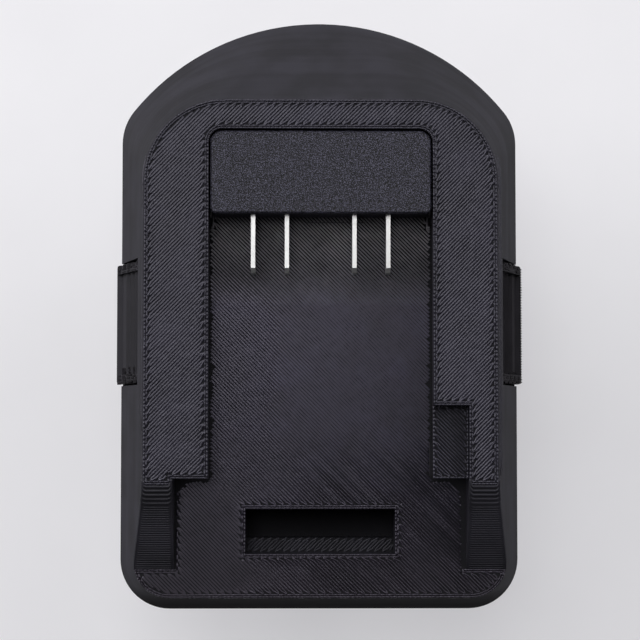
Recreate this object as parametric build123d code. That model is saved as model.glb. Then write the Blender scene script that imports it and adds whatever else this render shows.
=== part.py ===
from build123d import *
from math import asin, atan2, cos, degrees, radians, sin, sqrt
import os

# A printed battery adapter for a cordless tool. The battery slides along Y under two rail lips on the
# upper face, and a hollow post below plugs into the tool. Z is up, and the post stands on Z = 0.

# Heights
post_length = 46.0
body_height = 28.0
cover_thickness = 4.0
flare_height = 20.5
rail_depth = 8.0
floor_thickness = 2.5
overrun = 5.0

# Body outline at its widest, seen from above
body_width = 77.0
front_reach = 54.8
nose_reach = 59.4
dome_radius = 46.5
nose_tip_flat = 1.2
shoulder_radius = 10.2
front_corner_radius = 9.6
shell_wall = 2.4

# Deck outline, at the top of the flare
deck_side_inset = 5.6
deck_front_inset = 5.05
deck_back_reach = 41.25
deck_back_radius = 15.2
deck_front_radius = 5.0
deck_edge_width = 0.2
deck_edge_drop = 0.2

# Battery channel and its two overhanging lips
channel_width = 41.6
rail_slot_width = 54.8
lip_thickness = 3.3
lip_end_reach = 29.2
rail_slot_setback = 1.3
ramp_setback = 1.1
ramp_reach = 46.3
ramp_crest_length = 3.7
ramp_crest_drop = 0.95

# Lowered notch in the right lip, with a small key rib beside it
notch_length = 13.5
notch_depth = 2.0
key_rib_width = 0.6
key_rib_length = 6.0
key_rib_setback = 0.5

# Pocket in the channel floor for the battery's own latch
pocket_width = 28.1
pocket_length = 8.4
pocket_back_reach = 35.1
pocket_ledge_length = 2.7
pocket_ledge_depth = 6.0
pocket_slot_depth = 11.0
pocket_wall = 2.0

# Terminal block and its four blades
block_front = 19.9
block_length = 15.4
block_gap = 0.3
block_drop = 0.15
block_back_radius = 2.2
block_front_radius = 1.0
block_edge = 0.3
blade_pitch = 6.3
blade_thickness = 0.8
blade_height = 4.0
blade_drop = 2.5
blade_reach = 10.9
blade_seat_length = 11.3
blade_bevel = 0.9
blade_tail_width = 2.4
blade_tail_drop = 2.5
blade_slot_gap = 0.06
tail_hole_gap = 0.5
retainer_inset = 1.6
retainer_gap = 0.1
retainer_margin = 2.2
block_screw_inset = 3.3
block_screw_reach = 6.6
block_screw_length = 6.5

# Screws, all self-tapping with a cross recess
screw_radius = 1.4
screw_head_radius = 2.8
screw_head_height = 1.8
screw_clear = 0.05
screw_passage = 0.25
screw_head_room = 0.35
screw_tip_length = 1.4
screw_tip_radius = 0.35
recess_width = 0.7
recess_reach = 1.7
recess_depth = 1.0
boss_wall = 2.1

# Screws between cover and shell
shell_screw_length = 9.0
shell_screw_sink = 0.5
shell_screw_side_inset = 9.3
shell_screw_front_inset = 11.6
shell_screw_back_inset = 8.65

# Cover
cover_rim_height = 1.6
cover_rim_width = 1.6
cover_gap = 0.15
cover_edge = 1.0

# Post
post_width = 28.0
post_depth = 36.0
post_radius = 5.0
post_wall = 2.6
post_chimney = 9.0
post_fit = 0.1
post_ear_length = 7.6
post_ear_width = 20.0
post_ear_thickness = 3.0
post_ear_screw_spread = 12.0
post_screw_length = 5.2
post_notch_width = 22.0
post_notch_sill = 0.4
post_key_width = 4.0
post_key_height = 1.2
post_key_spread = 16.0
post_key_setback = 7.0

# Post cap and its two screws
cap_thickness = 3.6
cap_plug_height = 3.4
cap_fit = 0.12
cap_edge = 0.8
cap_screw_inset = 6.0
cap_screw_length = 11.0
cap_screw_sink = 0.4
cap_boss_height = 13.0

# Contacts on the post
contact_thickness = 0.8
contact_recess = 0.35
contact_gap = 0.12
contact_foot = 2.2
contact_tail_height = 5.0
contact_tail_share = 0.5
power_contact_width = 7.4
power_contact_height = 15.0
power_contact_base = 9.0
power_tail_inset = 4.2
sense_contact_width = 3.4
sense_contact_height = 10.0
sense_contact_base = 13.0
sense_contact_spread = 8.0
sense_tail_inset = 4.0

# Wires
power_wire_radius = 1.2
sense_wire_radius = 0.8
wire_sleeve_wall = 0.3
wire_sleeve_gap = 0.08
wire_sleeve_length = 3.6
wire_lift = 0.6
wire_turn = 2.0
wire_sill_clearance = 0.8
wire_bend_share = 0.45
wire_drape_reach_shares = (0.55, 0.14)
wire_drape_drop_shares = (0.06, 0.3, 0.67)

# Release latches
latch_centre = 0.1
latch_travel = 2.0
button_length = 23.0
button_top_drop = 5.3
button_gap = 0.4
button_proud = 0.9
button_sink = 0.7
button_depth = 7.1
button_stop_gap = 0.3
button_rim = 1.7
button_end_radius = 0.5
window_bevel = 0.8
button_scoop_depth = 1.1
button_rib_count = 4
button_rib_height = 0.8
button_foot_gap = 0.4
stop_ear = 1.6
stop_wall_gap = 0.3
arm_height = 8.0
arm_width = 16.0
arm_gap = 5.6
guide_gap = 0.3
guide_wall = 1.8
guide_height = 5.5
hook_gap = 6.0
hook_thickness = 3.6
hook_width = 10.0
hook_drop = 8.0
hook_barb = 2.4
hook_barb_height = 3.6
hook_land = 1.0
hook_slot_gap = 0.4

# Latch springs
spring_radius = 2.1
spring_wire_radius = 0.3
spring_turns = 6
spring_pocket_gap = 0.35
spring_pocket_depth = 8.0
spring_end_gap = 0.05
spring_pin_radius = 1.5
spring_pin_length = 2.5

# Levels and half widths that follow from the sizes above
cover_top = post_length + cover_thickness
deck_level = post_length + body_height
belt_level = deck_level - flare_height
bevel_level = deck_level - deck_edge_drop
floor_level = deck_level - rail_depth
ceiling_level = floor_level - floor_thickness
lip_underside = deck_level - lip_thickness
deck_width = body_width - 2 * deck_side_inset
deck_front_reach = front_reach - deck_front_inset
channel_half = channel_width / 2
rail_slot_half = rail_slot_width / 2
rail_slot_back = block_front - rail_slot_setback
ramp_start_reach = lip_end_reach + ramp_setback
block_back = block_front + block_length
block_half = channel_half - block_gap
block_top = deck_level - block_drop
blade_top = deck_level - blade_drop
blade_bottom = blade_top - blade_height
blade_tip = block_front - blade_reach
blade_end = block_front + blade_seat_length
blade_places = [-2 * blade_pitch, -blade_pitch, blade_pitch, 2 * blade_pitch]
tail_middle = blade_end - blade_tail_width / 2
tail_bottom = ceiling_level - blade_tail_drop
post_half_width = post_width / 2
post_half_depth = post_depth / 2
post_top = cover_top + post_chimney
ear_level = cover_top + post_ear_thickness
wire_level = ear_level + screw_head_height + wire_lift + sense_wire_radius
arm_bottom = cover_top + button_foot_gap
arm_top = arm_bottom + arm_height
arm_middle = arm_bottom + arm_height / 2
button_top = deck_level - button_top_drop
button_half = button_length / 2
button_inner = body_width / 2 + button_proud - button_depth
arm_inner = post_half_width + arm_gap
hook_inner = post_half_width + hook_gap


def slab(x0, x1, y0, y1, z0, z1):
    """A box between two corners."""
    return Pos((x0 + x1) / 2, (y0 + y1) / 2, (z0 + z1) / 2) * Box(x1 - x0, y1 - y0, z1 - z0)


def rod(x, y, z0, z1, radius):
    """An upright cylinder."""
    return Pos(x, y, (z0 + z1) / 2) * Cylinder(radius, z1 - z0)


def rod_along_x(x0, x1, y, z, radius):
    """A cylinder lying along X."""
    return Pos((x0 + x1) / 2, y, z) * Rot(0, 90, 0) * Cylinder(radius, x1 - x0)


def rounded_plate(width, depth, radius, z0, z1):
    """An upright block with four equal rounded corners, centred on the axis."""
    return Pos(0, 0, z0) * extrude(RectangleRounded(width, depth, radius), z1 - z0)


def corner(x, y, radius, start, sweep):
    """A round stretch of an outline about a centre, angles in degrees."""
    return CenterArc((x, y), radius, start, sweep)


def split_angle():
    """Where the shoulder arc meets the dome arc, in degrees from +X seen from the dome's centre."""
    half = body_width / 2 - shoulder_radius
    return degrees(atan2(sqrt((dome_radius - shoulder_radius) ** 2 - half ** 2), half))


def body_outline(inset):
    """The widest outline: straight sides, round front corners and a domed nose, drawn in by an inset."""
    half = body_width / 2 - inset
    front = -front_reach + inset
    nose_radius = dome_radius - inset
    nose_centre = nose_reach - dome_radius
    side_radius = shoulder_radius - inset
    front_radius = front_corner_radius - inset
    turn = split_angle()
    side_centre = nose_centre + (dome_radius - shoulder_radius) * sin(radians(turn))
    tip_half = nose_tip_flat / 2
    tip_turn = degrees(asin(tip_half / nose_radius))
    tip_y = nose_centre + nose_radius * cos(radians(tip_turn))
    dome_sweep = 90 - tip_turn - turn
    edges = [
        Line((-half + front_radius, front), (half - front_radius, front)),
        corner(half - front_radius, front + front_radius, front_radius, -90, 90),
        Line((half, front + front_radius), (half, side_centre)),
        corner(half - side_radius, side_centre, side_radius, 0, turn),
        corner(0, nose_centre, nose_radius, turn, dome_sweep),
        Line((tip_half, tip_y), (-tip_half, tip_y)),
        corner(0, nose_centre, nose_radius, 90 + tip_turn, dome_sweep),
        corner(-half + side_radius, side_centre, side_radius, 180 - turn, turn),
        Line((-half, side_centre), (-half, front + front_radius)),
        corner(-half + front_radius, front + front_radius, front_radius, 180, 90),
    ]
    return make_face(edges)


def deck_outline(inset):
    """The outline at the top of the flare, its edges in the order of the body outline's."""
    half = deck_width / 2 - inset
    front = -deck_front_reach + inset
    back = deck_back_reach - inset
    back_radius = deck_back_radius - inset
    front_radius = deck_front_radius - inset
    turn = split_angle()
    right, left = half - back_radius, -half + back_radius
    centre = back - back_radius
    edges = [
        Line((-half + front_radius, front), (half - front_radius, front)),
        corner(half - front_radius, front + front_radius, front_radius, -90, 90),
        Line((half, front + front_radius), (half, centre)),
        corner(right, centre, back_radius, 0, turn),
        corner(right, centre, back_radius, turn, 90 - turn),
        Line((right, back), (left, back)),
        corner(left, centre, back_radius, 90, 90 - turn),
        corner(left, centre, back_radius, 180 - turn, turn),
        Line((-half, centre), (-half, front + front_radius)),
        corner(-half + front_radius, front + front_radius, front_radius, 180, 90),
    ]
    return make_face(edges)


def flared_body(inset, bottom):
    """The skirt, the flare above it and the deck's narrow bevel, as one solid drawn in by an inset."""
    skirt = Pos(0, 0, bottom) * extrude(body_outline(inset), belt_level - bottom)
    low = Pos(0, 0, belt_level) * body_outline(inset)
    high = Pos(0, 0, bevel_level) * deck_outline(inset)
    top = Pos(0, 0, deck_level) * deck_outline(inset + deck_edge_width)
    return skirt + loft([low, high], ruled=True) + loft([high, top], ruled=True)


def flank_at(z):
    """Half width of the flank at a height on the flare."""
    share = (z - belt_level) / (bevel_level - belt_level)
    return body_width / 2 + share * (deck_width - body_width) / 2


def channel_void():
    """What is cut from the deck for the battery: channel, block seat, rail slots and the ramps."""
    reach = body_width / 2 + overrun
    front = -front_reach - overrun
    top = deck_level + overrun
    seat_back = block_back + block_gap
    seat_radius = block_back_radius + block_gap
    channel = slab(-channel_half, channel_half, front, seat_back, floor_level, top)
    channel = fillet(channel.edges().filter_by(Axis.Z).group_by(Axis.Y)[-1], seat_radius)
    slots = slab(-rail_slot_half, rail_slot_half, front, rail_slot_back, floor_level, lip_underside)
    mouth = slab(-rail_slot_half, rail_slot_half, front, -lip_end_reach, floor_level, top)
    start = -ramp_start_reach
    crest = (start - ramp_crest_length, deck_level - ramp_crest_drop)
    foot = (-ramp_reach, floor_level)
    outline = [
        TangentArc((start, deck_level), crest, tangent=(-1, 0)),
        Line(crest, foot),
        Line(foot, (front, floor_level)),
        Line((front, floor_level), (front, top)),
        Line((front, top), (start, top)),
        Line((start, top), (start, deck_level)),
    ]
    profile = Plane.YZ * make_face(outline)
    ramps = extrude(profile, reach, both=True)
    return channel + slots + mouth + ramps


def lip_notch():
    """The lowered stretch of the right lip."""
    front = -lip_end_reach - overrun
    back = -lip_end_reach + notch_length
    floor = deck_level - notch_depth
    return slab(channel_half - overrun, rail_slot_half, front, back, floor, deck_level + overrun)


def key_rib():
    """A slim rib on the inner edge of the lowered lip."""
    front = -lip_end_reach + key_rib_setback
    top = deck_level - notch_depth - key_rib_setback
    return slab(
        channel_half - key_rib_width, channel_half, front, front + key_rib_length, lip_underside, top
    )


def pocket_void():
    """The pocket in the channel floor: a deep slot and a shallower ledge in front of it."""
    half = pocket_width / 2
    back = -pocket_back_reach
    front = back - pocket_length
    top = floor_level + overrun
    ledge = slab(-half, half, front, back, floor_level - pocket_ledge_depth, top)
    slot = slab(-half, half, front + pocket_ledge_length, back, floor_level - pocket_slot_depth, top)
    return ledge + slot


def pocket_box():
    """The walls that carry the pocket inside the shell."""
    half = pocket_width / 2 + pocket_wall
    back = -pocket_back_reach + pocket_wall
    front = -pocket_back_reach - pocket_length - pocket_wall
    low = floor_level - pocket_slot_depth - pocket_wall
    return slab(-half, half, front, back, low, ceiling_level)


def shell_screw_places():
    """The four cover screws."""
    x = body_width / 2 - shell_screw_side_inset
    ys = (shell_screw_front_inset - front_reach, deck_back_reach - shell_screw_back_inset)
    return [(side * x, y) for y in ys for side in (-1, 1)]


def block_screw_places():
    """The two screws that hold the terminal block."""
    y = block_front + block_screw_reach
    return [(side * (block_half - block_screw_inset), y) for side in (-1, 1)]


def button_window(side):
    """The window in a flank that a release button moves in."""
    y0 = latch_centre - button_half - button_gap
    y1 = latch_centre + button_half + button_gap
    inner = button_inner - latch_travel - button_stop_gap
    outer = body_width / 2 + overrun
    window = slab(inner, outer, y0, y1, cover_top - overrun, button_top + button_gap)
    bevel = Pos(0, 0, cover_top) * extrude(RegularPolygon(window_bevel, 4), belt_level - cover_top)
    for y in (y0, y1):
        window = window + Pos(body_width / 2, y, 0) * bevel
    return window if side > 0 else mirror(window, about=Plane.YZ)


def battery_shell():
    """The printed upper shell: deck, rails, channel floor, nose and the skirt around the works."""
    body = flared_body(0, cover_top)
    hollow = flared_body(shell_wall, cover_top - overrun)
    reach = body_width + front_reach + nose_reach
    hollow = hollow & slab(-reach, reach, -reach, reach, cover_top - overrun, ceiling_level)
    bosses = [
        rod(x, y, cover_top, ceiling_level, screw_radius + boss_wall) for x, y in shell_screw_places()
    ]
    kept = pocket_box() + bosses
    body = body - (hollow - kept) - channel_void() - lip_notch() - pocket_void()
    body = body + key_rib()
    for side in (-1, 1):
        body = body - button_window(side)
    pilot = screw_radius + screw_clear
    for x, y in shell_screw_places():
        body = body - rod(x, y, cover_top - overrun, shell_screw_bearing() + shell_screw_length, pilot)
    for x, y in block_screw_places():
        passage = screw_radius + screw_passage
        body = body - rod(x, y, ceiling_level - overrun, floor_level + overrun, passage)
    for x in blade_places:
        half_x = blade_thickness / 2 + tail_hole_gap
        half_y = blade_tail_width / 2 + tail_hole_gap
        body = body - slab(
            x - half_x, x + half_x, tail_middle - half_y, tail_middle + half_y,
            ceiling_level - overrun, floor_level + block_edge,
        )
    return body


def terminal_block():
    """The separate block that holds the four blades, flush with the deck."""
    block = slab(-block_half, block_half, block_front, block_back, floor_level, block_top)
    uprights = block.edges().filter_by(Axis.Z)
    block = fillet(uprights.group_by(Axis.Y)[-1], block_back_radius)
    block = fillet(block.edges().filter_by(Axis.Z).group_by(Axis.Y)[0], block_front_radius)
    block = chamfer(block.faces().sort_by(Axis.Z)[-1].edges(), block_edge)
    half_slot = blade_thickness / 2 + blade_slot_gap
    for x in blade_places:
        block = block - slab(
            x - half_slot, x + half_slot, block_front - overrun, blade_end + blade_slot_gap,
            floor_level - overrun, blade_top + blade_slot_gap,
        )
    seat = 2 * blade_pitch + retainer_margin + retainer_gap
    front = block_front + retainer_inset - retainer_gap
    back = block_back - retainer_inset + retainer_gap
    block = block - slab(-seat, seat, front, back, floor_level - overrun, blade_bottom)
    tip = ceiling_level + block_screw_length
    for x, y in block_screw_places():
        block = block - rod(x, y, floor_level - overrun, tip, screw_radius + screw_clear)
    return block


def blade(x):
    """A flat blade standing on edge, with a bevelled tip and a tail through the floor."""
    outline = Polyline(
        (blade_tip, blade_bottom),
        (blade_end - blade_tail_width, blade_bottom),
        (blade_end - blade_tail_width, tail_bottom),
        (blade_end, tail_bottom),
        (blade_end, blade_top),
        (blade_tip + blade_bevel, blade_top),
        (blade_tip, blade_top - blade_bevel),
        close=True,
    )
    return Pos(x, 0, 0) * extrude(Plane.YZ * make_face(outline), blade_thickness / 2, both=True)


def blade_retainer():
    """The comb plate under the block that keeps the blades in their slots."""
    half = 2 * blade_pitch + retainer_margin
    front = block_front + retainer_inset
    back = block_back - retainer_inset
    plate = slab(-half, half, front, back, floor_level, blade_bottom - retainer_gap)
    half_x = blade_thickness / 2 + blade_slot_gap
    for x in blade_places:
        plate = plate - slab(
            x - half_x, x + half_x,
            blade_end - blade_tail_width - blade_slot_gap, blade_end + blade_slot_gap,
            floor_level - overrun, floor_level + overrun,
        )
    return plate


def screw(length):
    """A pan-head screw with its bearing face at Z = 0, head below and shank above."""
    head = rod(0, 0, -screw_head_height, 0, screw_head_radius)
    head = fillet(head.edges().sort_by(Axis.Z)[0], screw_head_height / 2)
    half = recess_width / 2
    low = -screw_head_height
    cross = slab(-recess_reach, recess_reach, -half, half, low - overrun, low + recess_depth)
    cross = cross + Rot(0, 0, 90) * cross
    shank = rod(0, 0, 0, length - screw_tip_length, screw_radius)
    tip = Pos(0, 0, length - screw_tip_length / 2) * Cone(screw_radius, screw_tip_radius, screw_tip_length)
    return head - cross + shank + tip


def screws(places, seat, length):
    """Equal screws, one at each place, bearing at one height."""
    return [Pos(x, y, seat) * screw(length) for x, y in places]


def shell_screw_bearing():
    """Where the cover screws' heads bear inside their counterbores."""
    return post_length + shell_screw_sink + screw_head_height


def post_screw_places():
    """The four screws in the post's ears."""
    y = post_half_depth + post_ear_length / 2
    return [(sx * post_ear_screw_spread / 2, sy * y) for sx in (-1, 1) for sy in (-1, 1)]


def cap_screw_places():
    """The two screws in the cap."""
    return [(0, side * (post_half_depth - cap_screw_inset)) for side in (-1, 1)]


def base_cover():
    """The closing cover: shoulder face, seat for the post, hook slots and latch guides."""
    plate = Pos(0, 0, post_length) * extrude(body_outline(0), cover_thickness)
    plate = chamfer(plate.faces().sort_by(Axis.Z)[0].edges(), cover_edge)
    inset = shell_wall + cover_gap
    rim = extrude(body_outline(inset), cover_rim_height) - extrude(
        body_outline(inset + cover_rim_width), cover_rim_height
    )
    plate = plate + Pos(0, 0, cover_top) * rim
    y0 = latch_centre - button_half - button_gap - stop_ear - guide_gap
    y1 = latch_centre + button_half + button_gap + stop_ear + guide_gap
    reach = body_width / 2
    plate = plate - slab(-reach, reach, y0, y1, cover_top, cover_top + overrun)
    for side in (-1, 1):
        plate = plate + latch_guides(side)
        plate = plate - hook_slot(side)
    plate = plate - rounded_plate(
        post_width + 2 * post_fit, post_depth + 2 * post_fit, post_radius + post_fit,
        post_length - overrun, cover_top + overrun,
    )
    for notch in post_keys(post_fit, post_length - overrun, cover_top + overrun):
        plate = plate - notch
    room = screw_head_radius + screw_head_room
    passage = screw_radius + screw_passage
    clearance = screw_radius + boss_wall + cover_gap
    for x, y in shell_screw_places():
        plate = plate - rod(x, y, cover_top, cover_top + overrun, clearance)
        plate = plate - rod(x, y, post_length - overrun, shell_screw_bearing(), room)
        plate = plate - rod(x, y, post_length - overrun, cover_top + overrun, passage)
    for x, y in post_screw_places():
        low = cover_top + post_ear_thickness - post_screw_length
        plate = plate - rod(x, y, low, cover_top + overrun, screw_radius + screw_clear)
    return plate


def latch_guides(side):
    """Two low walls that a latch arm slides between."""
    inner = post_half_width + guide_wall
    outer = button_inner - latch_travel - button_stop_gap
    half = arm_width / 2 + guide_gap
    walls = []
    for way in (-1, 1):
        y0, y1 = sorted((latch_centre + way * half, latch_centre + way * (half + guide_wall)))
        walls.append(slab(inner, outer, y0, y1, cover_top, cover_top + guide_height))
    pair = walls[0] + walls[1]
    return pair if side > 0 else mirror(pair, about=Plane.YZ)


def hook_slot(side):
    """The slot in the cover that a hook passes and moves in."""
    inner = hook_inner - latch_travel - hook_slot_gap
    outer = hook_inner + hook_thickness + hook_barb + hook_slot_gap
    half = hook_width / 2 + hook_slot_gap
    slot = slab(
        inner, outer, latch_centre - half, latch_centre + half, post_length - overrun, cover_top + overrun
    )
    return slot if side > 0 else mirror(slot, about=Plane.YZ)


def post_tube():
    """The hollow post that plugs into the tool, with ears that seat on the cover's inner face."""
    tube = rounded_plate(post_width, post_depth, post_radius, cap_thickness, post_top)
    ear_reach = post_half_depth + post_ear_length
    half = post_ear_width / 2
    tube = tube + slab(-half, half, -ear_reach, ear_reach, cover_top, cover_top + post_ear_thickness)
    for key in post_keys(0, cap_thickness + post_key_setback, cover_top):
        tube = tube + key
    pins = rod_along_x(
        -post_half_width - spring_pin_length, post_half_width + spring_pin_length,
        latch_centre, arm_middle, spring_pin_radius,
    )
    tube = tube + pins
    bore = rounded_plate(
        post_width - 2 * post_wall, post_depth - 2 * post_wall, post_radius - post_wall,
        cap_thickness - overrun, post_top + overrun,
    )
    boss_low = cap_thickness + cap_plug_height + cap_fit
    for x, y in cap_screw_places():
        boss = rod(x, y, boss_low, boss_low + cap_boss_height, screw_radius + boss_wall)
        bore = bore - boss
    tube = tube - bore
    for x, y in cap_screw_places():
        top = cap_screw_bearing() + cap_screw_length
        tube = tube - rod(x, y, cap_thickness - overrun, top, screw_radius + screw_clear)
    for x, y in post_screw_places():
        tube = tube - rod(x, y, cover_top - overrun, cover_top + overrun, screw_radius + screw_passage)
    notch = post_notch_width / 2
    tube = tube - slab(
        -notch, notch, 0, post_half_depth + overrun, ear_level + post_notch_sill,
        post_top + overrun,
    )
    for side in (-1, 1):
        tube = tube - power_window(side)
        tube = tube - sense_window(side)
    return tube


def post_keys(gap, low, high):
    """The two keys on the post's front, or with a gap round them the notches that they pass."""
    half = post_key_width / 2 + gap
    front = -post_half_depth - post_key_height - gap
    places = (-post_key_spread / 2, post_key_spread / 2)
    return [slab(x - half, x + half, front, 0, low, high) for x in places]


def power_window(side):
    """The window in a side wall of the post that a power contact shows in."""
    half = power_contact_width / 2 + contact_gap
    low = power_contact_base - contact_gap
    high = power_contact_base + power_contact_height + contact_gap
    inner = post_half_width - post_wall - contact_gap
    window = slab(inner, post_half_width + overrun, -half, half, low, high)
    return window if side > 0 else mirror(window, about=Plane.YZ)


def sense_window(side):
    """The window in the post's back wall that a sense contact shows in."""
    half = sense_contact_width / 2 + contact_gap
    x = side * sense_contact_spread / 2
    low = sense_contact_base - contact_gap
    high = sense_contact_base + sense_contact_height + contact_gap
    inner = post_half_depth - post_wall - contact_gap
    return slab(x - half, x + half, inner, post_half_depth + overrun, low, high)


def contact(wall, width, base, height, tail_inset):
    """A bent strip in a post window: face, two returns and an inner tail for the wire, facing +X."""
    outer = wall - contact_recess
    face = slab(outer - contact_thickness, outer, -width / 2, width / 2, base, base + height)
    inner = wall - tail_inset
    top = base + height
    tail_half = contact_tail_share * width / 2
    foot = slab(
        outer - contact_foot, outer, -width / 2, width / 2, base, base + contact_thickness
    )
    bridge = slab(inner - contact_thickness, outer, -width / 2, width / 2, top - contact_thickness, top)
    tail = slab(
        inner - contact_thickness, inner, -tail_half, tail_half, top - contact_thickness,
        top + contact_tail_height,
    )
    return face + foot + bridge + tail


def power_contact(side):
    """A power contact, positive at +X and negative at -X."""
    strip = contact(
        post_half_width, power_contact_width, power_contact_base, power_contact_height, power_tail_inset
    )
    return strip if side > 0 else mirror(strip, about=Plane.YZ)


def sense_contact(side):
    """A sense contact on the post's back wall."""
    strip = contact(
        post_half_depth, sense_contact_width, sense_contact_base, sense_contact_height, sense_tail_inset
    )
    return Pos(side * sense_contact_spread / 2, 0, 0) * Rot(0, 0, 90) * strip


def cap_screw_bearing():
    """Where the cap screws' heads bear inside the cap."""
    return cap_screw_sink + screw_head_height


def post_cap():
    """The end cap of the post: the face that the part stands on, with a plug inside the tube."""
    cap = rounded_plate(post_width, post_depth, post_radius, 0, cap_thickness)
    cap = chamfer(cap.faces().sort_by(Axis.Z)[0].edges(), cap_edge)
    inner = 2 * (post_wall + cap_fit)
    cap = cap + rounded_plate(
        post_width - inner, post_depth - inner, post_radius - post_wall, cap_thickness,
        cap_thickness + cap_plug_height,
    )
    for x, y in cap_screw_places():
        cap = cap - rod(x, y, -overrun, cap_screw_bearing(), screw_head_radius + screw_head_room)
        cap = cap - rod(x, y, -overrun, cap_thickness + overrun, screw_radius + screw_passage)
    return cap


def smooth_path(points):
    """Straight runs joined by tangent arcs, each as large as its two runs allow."""
    vectors = [Vector(*p) for p in points]
    radii = []
    for before, at, after in zip(vectors, vectors[1:], vectors[2:]):
        turn = radians((at - before).get_angle(after - at))
        run = min((at - before).length, (after - at).length)
        radii.append(wire_bend_share * run / (sin(turn / 2) / cos(turn / 2)))
    print("wire bend radii", [round(radius, 1) for radius in radii])
    return FilletPolyline(*points, radius=radii)


def wire(points, radius):
    """A round wire along its route."""
    path = smooth_path(points)
    start = path.edges()[0]
    section = Plane(origin=start @ 0, z_dir=start % 0) * Circle(radius)
    return sweep(section, path)


def wire_start(x, inside):
    """The first points of a wire: down from the blade's tail and over towards the post."""
    return [
        (x, tail_middle, tail_bottom),
        (x, tail_middle, wire_level + wire_turn),
        ((x + inside) / 2, tail_middle - wire_turn, wire_level),
    ]


def power_wire_route(side):
    """From an outer blade's tail, over the post's sill, and down in a drape to the power contact."""
    inside = side * (post_half_width - power_tail_inset - contact_thickness / 2)
    tail_top = power_contact_base + power_contact_height + contact_tail_height
    over = post_half_depth + power_wire_radius + wire_sill_clearance
    drop = wire_level - tail_top
    far, near = (over * share for share in wire_drape_reach_shares)
    levels = [wire_level - drop * share for share in wire_drape_drop_shares]
    return wire_start(side * 2 * blade_pitch, inside) + [
        (inside, over, wire_level),
        (inside, far, levels[0]),
        (inside, near, levels[1]),
        (inside, 0, levels[2]),
        (inside, 0, tail_top),
    ]


def sense_wire_route(side):
    """From an inner blade's tail, over the sill, and down to the sense contact."""
    inside = side * sense_contact_spread / 2
    back = post_half_depth - sense_tail_inset - contact_thickness / 2
    over = post_half_depth - post_wall + wire_sill_clearance
    tail_top = sense_contact_base + sense_contact_height + contact_tail_height
    return wire_start(side * blade_pitch, inside) + [
        (inside, over, wire_level),
        (inside, back, wire_level - over + back),
        (inside, back, tail_top),
    ]


def wire_sleeves():
    """Shrink sleeves over the solder joints under the terminal block."""
    sleeves = []
    for x in blade_places:
        radius = power_wire_radius if abs(x) > blade_pitch else sense_wire_radius
        reach = max(radius, blade_tail_width / 2) + wire_sleeve_gap
        low = tail_bottom - wire_sleeve_length / 2
        high = tail_bottom + wire_sleeve_length / 2
        tube = rod(x, tail_middle, low, high, reach + wire_sleeve_wall)
        sleeves.append(tube - rod(x, tail_middle, low - overrun, high + overrun, reach))
    return sleeves


def button_face(z):
    """How far out the button's outer surface stands at a height."""
    foot = body_width / 2 + button_proud
    if z <= belt_level:
        return foot
    share = (z - belt_level) / (button_top - belt_level)
    return foot + share * (flank_at(button_top) - button_sink - foot)


def latch():
    """The release latch on the +X side: button, stop ears, arm with spring pocket, and hook."""
    low = arm_bottom
    profile = Polyline(
        (button_inner, low),
        (button_face(low), low),
        (button_face(belt_level), belt_level),
        (button_face(button_top), button_top),
        (button_inner, button_top),
        close=True,
    )
    button = Plane.XZ * make_face(profile)
    button = Pos(0, latch_centre, 0) * extrude(button, button_half, both=True)
    ends = button.edges().group_by(Axis.Y)
    outer = [edge for edge in ends[0] + ends[-1] if edge.center().X > button_inner]
    steep = [edge for edge in outer if abs(edge.tangent_at(0).Z) > abs(edge.tangent_at(0).X)]
    button = fillet(steep, button_end_radius)
    button = button - button_scoop()
    ear_half = button_half + button_gap + stop_ear
    ear_outer = flank_at(arm_top) - shell_wall - stop_wall_gap
    ears = slab(
        button_inner, ear_outer, latch_centre - ear_half, latch_centre + ear_half, arm_bottom, arm_top
    )
    arm_half = arm_width / 2
    arm = slab(
        arm_inner, button_inner + stop_ear, latch_centre - arm_half, latch_centre + arm_half,
        arm_bottom, arm_top,
    )
    pocket_radius = spring_radius + spring_wire_radius + spring_pocket_gap
    pocket = rod_along_x(arm_inner - overrun, spring_far_end(), latch_centre, arm_middle, pocket_radius)
    return button + ears + arm + hook() - pocket


def button_scoop():
    """The thumb grip sunk in the button between its two end rims, with ribs left along it."""
    y0 = latch_centre - button_half + button_rim
    y1 = latch_centre + button_half - button_rim
    low = belt_level
    high = button_top - button_rim / 2
    reach = body_width / 2 + overrun
    profile = Polyline(
        (button_face(low) - button_scoop_depth, low),
        (reach, low),
        (reach, high),
        (button_face(high) - button_scoop_depth, high),
        close=True,
    )
    grip = Plane.XZ * make_face(profile)
    middle = (y0 + y1) / 2
    grip = Pos(0, middle, 0) * extrude(grip, (y1 - y0) / 2, both=True)
    pitch = (high - low) / (button_rib_count + 1)
    for number in range(1, button_rib_count):
        z = low + (number + 1 / 2) * pitch
        half = button_rib_height / 2
        outer = button_face(z) - button_scoop_depth / 2
        grip = grip - slab(0, outer, y0 - overrun, y1 + overrun, z - half, z + half)
    return grip


def hook():
    """The hook that passes the cover and catches in the tool, its barb facing out."""
    outer = hook_inner + hook_thickness
    barb = outer + hook_barb
    low = post_length - hook_drop
    profile = Polyline(
        (hook_inner, arm_bottom + button_foot_gap),
        (hook_inner, low),
        (outer, low),
        (barb, low + hook_barb_height - hook_land),
        (barb, low + hook_barb_height),
        (outer, low + hook_barb_height),
        (outer, arm_bottom + button_foot_gap),
        close=True,
    )
    return Pos(0, latch_centre, 0) * extrude(Plane.XZ * make_face(profile), hook_width / 2, both=True)


def spring_far_end():
    """The bottom of the spring pocket in the latch arm."""
    return arm_inner + spring_pocket_depth


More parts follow.
